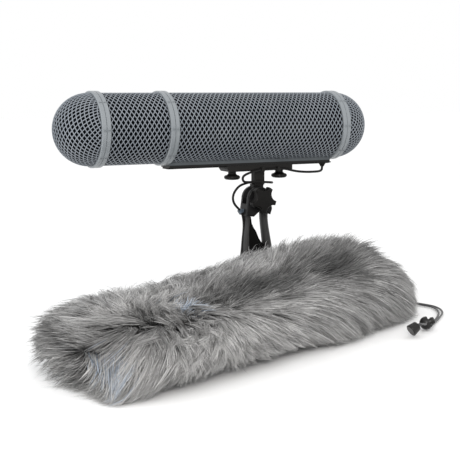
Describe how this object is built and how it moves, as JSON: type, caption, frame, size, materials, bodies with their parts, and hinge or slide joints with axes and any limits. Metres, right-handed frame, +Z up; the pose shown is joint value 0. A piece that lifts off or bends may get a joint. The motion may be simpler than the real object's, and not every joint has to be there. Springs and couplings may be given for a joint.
{
  "type": "basket windshield kit with pistol grip and long-haired cover",
  "caption": "Modular basket windshield on a tilting pistol grip with its lead, inner suspension and long-haired fabric cover with a drawcord lying beside it.",
  "frame": {"origin": "centre of the mouth of the boom thread in the grip's base, on the floor", "axes": "+Z up, X along the basket's axis with the front dome at -X, the cover lies on the -Y side"},
  "size_m": [0.604, 0.5244, 0.308],
  "materials": {
    "basket_mesh": "matte",
    "basket_lining": "matte",
    "joint_rings": "satin",
    "keel_trim": "satin",
    "black_plastic": "satin",
    "handle_web": "satin",
    "grip_rubber": "matte",
    "yoke_casting": "satin",
    "steel": "satin",
    "brass": "satin",
    "bar_aluminium": "satin",
    "lyre_plastic": "satin",
    "lead_jacket": "matte",
    "connector_shell": "satin",
    "cable_clip": "satin",
    "fur": "matte",
    "cover_backing": "matte",
    "drawcord": "matte",
    "cord_lock": "satin"
  },
  "bodies": {
    "handle": {"handle_core": "handle_web", "front_grip": "grip_rubber", "rear_grip": "grip_rubber", "yoke": "yoke_casting", "pivot_bolt": "steel", "knob_washer": "steel", "thread_insert": "brass", "cable_clip": "cable_clip", "lead_tail": "lead_jacket", "lead_plug": "connector_shell", "plug_pins": "brass"},
    "head": {"mount_block": "black_plastic", "head_tongue": "black_plastic", "friction_washers": "lyre_plastic", "block_clips": "black_plastic", "clamp_nuts": "steel", "lead_wrap": "lead_jacket", "lead_loop": "lead_jacket"},
    "front_screw": {"front_screw_knob": "black_plastic", "front_screw_stud": "steel"},
    "rear_screw": {"rear_screw_knob": "black_plastic", "rear_screw_stud": "steel"},
    "tilt_knob": {"clamp_knob": "black_plastic", "knob_insert": "brass"},
    "basket": {"main_tube": "basket_mesh", "main_lining": "basket_lining", "main_front_ring": "joint_rings", "main_rear_ring": "joint_rings", "keel_strip": "keel_trim", "keel_rail": "black_plastic", "lead_gland": "black_plastic", "inner_bar": "bar_aluminium", "bar_screws": "steel", "mic_plug": "connector_shell", "inner_lead": "lead_jacket", "lead_rear": "lead_jacket"},
    "front_section": {"front_tube": "basket_mesh", "front_lining": "basket_lining", "front_tube_front_ring": "joint_rings", "front_tube_rear_ring": "joint_rings"},
    "front_cap": {"front_dome": "basket_mesh", "front_dome_lining": "basket_lining", "front_dome_ring": "joint_rings"},
    "rear_cap": {"rear_dome": "basket_mesh", "rear_dome_lining": "basket_lining", "rear_dome_ring": "joint_rings"},
    "front_lyre": {"front_lyre_carriage": "lyre_plastic", "front_lyre_hoop": "lyre_plastic"},
    "rear_lyre": {"rear_lyre_carriage": "lyre_plastic", "rear_lyre_hoop": "lyre_plastic"},
    "cover": {"fur_pile": "fur", "cover_backing": "cover_backing", "cord_hem": "cover_backing", "drawcord_a": "drawcord", "drawcord_b": "drawcord", "drawcord_tail": "drawcord", "lock_body": "cord_lock", "lock_spring": "steel", "cord_end": "cord_lock"},
    "lock_button": {"lock_button": "cord_lock"}
  },
  "joints": [
    {"name": "head_tilt", "type": "hinge", "parent": "handle", "child": "head", "pos_m": [0, 0, 0.147], "axis": [0, 1, 0], "range_deg": [-45, 45], "deforming": ["lead_loop"]},
    {"name": "tilt_knob_turn", "type": "hinge", "parent": "handle", "child": "tilt_knob", "pos_m": [0, -0.02, 0.147], "axis": [0, -1, 0], "continuous": true},
    {"name": "front_screw_turn", "type": "hinge", "parent": "head", "child": "front_screw", "pos_m": [-0.0404, 0, 0.183], "axis": [0, 0, 1], "continuous": true},
    {"name": "rear_screw_turn", "type": "hinge", "parent": "head", "child": "rear_screw", "pos_m": [0.0404, 0, 0.183], "axis": [0, 0, 1], "continuous": true},
    {"name": "basket_slide", "type": "slide", "parent": "head", "child": "basket", "axis": [1, 0, 0], "range_m": [-0.02, 0.01], "deforming": ["lead_rear"]},
    {"name": "front_section_pull", "type": "slide", "parent": "basket", "child": "front_section", "axis": [-1, 0, 0], "range_m": [0, 0.1]},
    {"name": "front_cap_pull", "type": "slide", "parent": "front_section", "child": "front_cap", "axis": [-1, 0, 0], "range_m": [0, 0.06]},
    {"name": "rear_cap_pull", "type": "slide", "parent": "basket", "child": "rear_cap", "axis": [1, 0, 0], "range_m": [0, 0.08]},
    {"name": "front_lyre_slide", "type": "slide", "parent": "basket", "child": "front_lyre", "axis": [1, 0, 0], "range_m": [-0.025, 0.025]},
    {"name": "rear_lyre_slide", "type": "slide", "parent": "basket", "child": "rear_lyre", "axis": [1, 0, 0], "range_m": [-0.02, 0.02]},
    {"name": "cover_move", "type": "slide", "parent": "handle", "child": "cover", "axis": [0, -1, 0], "range_m": [0, 0.25]},
    {"name": "lock_press", "type": "slide", "parent": "cover", "child": "lock_button", "axis": [-0.8254, 0.4328, -0.3624], "range_m": [0, 0.0025], "stiffness_N_per_m": 600, "springref_m": -0.002, "deforming": ["lock_spring"]}
  ]
}
